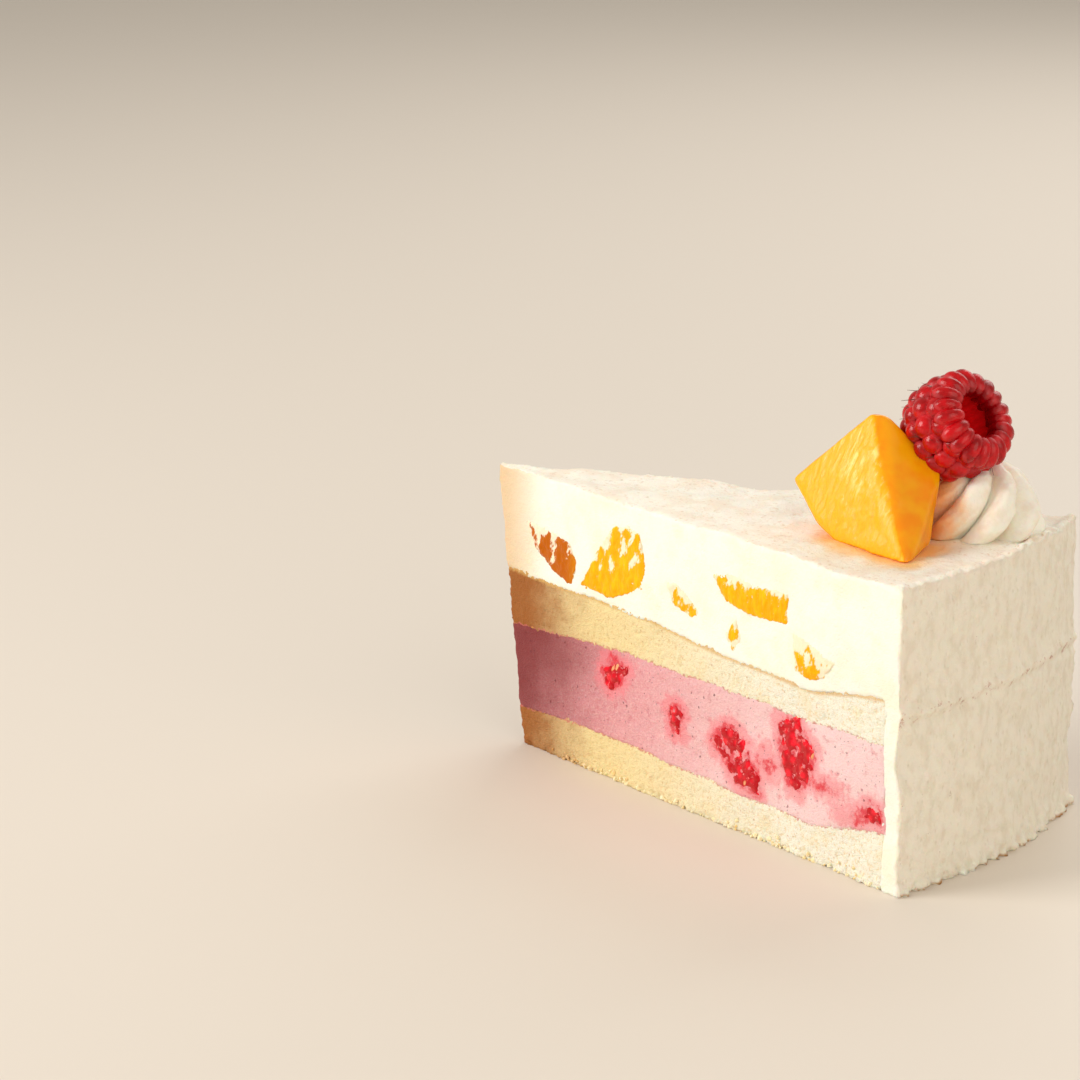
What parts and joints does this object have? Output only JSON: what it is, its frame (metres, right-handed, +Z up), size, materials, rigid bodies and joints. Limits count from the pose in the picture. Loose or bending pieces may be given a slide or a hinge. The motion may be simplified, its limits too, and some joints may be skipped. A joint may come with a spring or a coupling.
{
  "type": "slice of cream cake",
  "caption": "Wedge of peach and raspberry cream cake, as cut, with layers of sponge, raspberry mousse and peach cream, and a rosette, peach and raspberry on top.",
  "frame": {"origin": "centre of the footprint's bounding box, on the surface that the slice stands on", "axes": "+X from the tip to the round rim, +Y towards the cut face with the smaller fruit, +Z up"},
  "size_m": [0.1282, 0.0678, 0.0964],
  "materials": {
    "sponge": "open yellow crumb, browned at its crust",
    "mousse": "dull pink, with fine grain and small holes",
    "cream_filling": "soft whipped cream, cut with a knife",
    "cream_coat": "spread whipped cream, slightly pitted",
    "peach": "wet preserved peach",
    "peach_piece": "wet cut peach, smeared with cream",
    "raspberry": "glossy drupelets with a pale bloom",
    "raspberry_piece": "cut raspberry with pale seeds"
  },
  "bodies": {
    "root": {"berry_far_1": "raspberry_piece", "berry_far_2": "raspberry_piece", "berry_far_3": "raspberry_piece", "berry_far_4": "raspberry_piece", "berry_near_1": "raspberry_piece", "berry_near_2": "raspberry_piece", "berry_near_3": "raspberry_piece", "berry_near_4": "raspberry_piece", "berry_near_5": "raspberry_piece", "cream_coat": "cream_coat", "cream_rosette": "cream_coat", "peach_chunk": "peach", "peach_cream": "cream_filling", "peach_far_1": "peach_piece", "peach_far_2": "peach_piece", "peach_far_3": "peach_piece", "peach_far_4": "peach_piece", "peach_far_5": "peach_piece", "peach_near_1": "peach_piece", "peach_near_2": "peach_piece", "peach_near_3": "peach_piece", "peach_near_4": "peach_piece", "peach_near_5": "peach_piece", "peach_near_6": "peach_piece", "raspberry": "raspberry", "raspberry_mousse": "mousse", "sponge_base": "sponge", "sponge_middle": "sponge"}
  },
  "joints": []
}
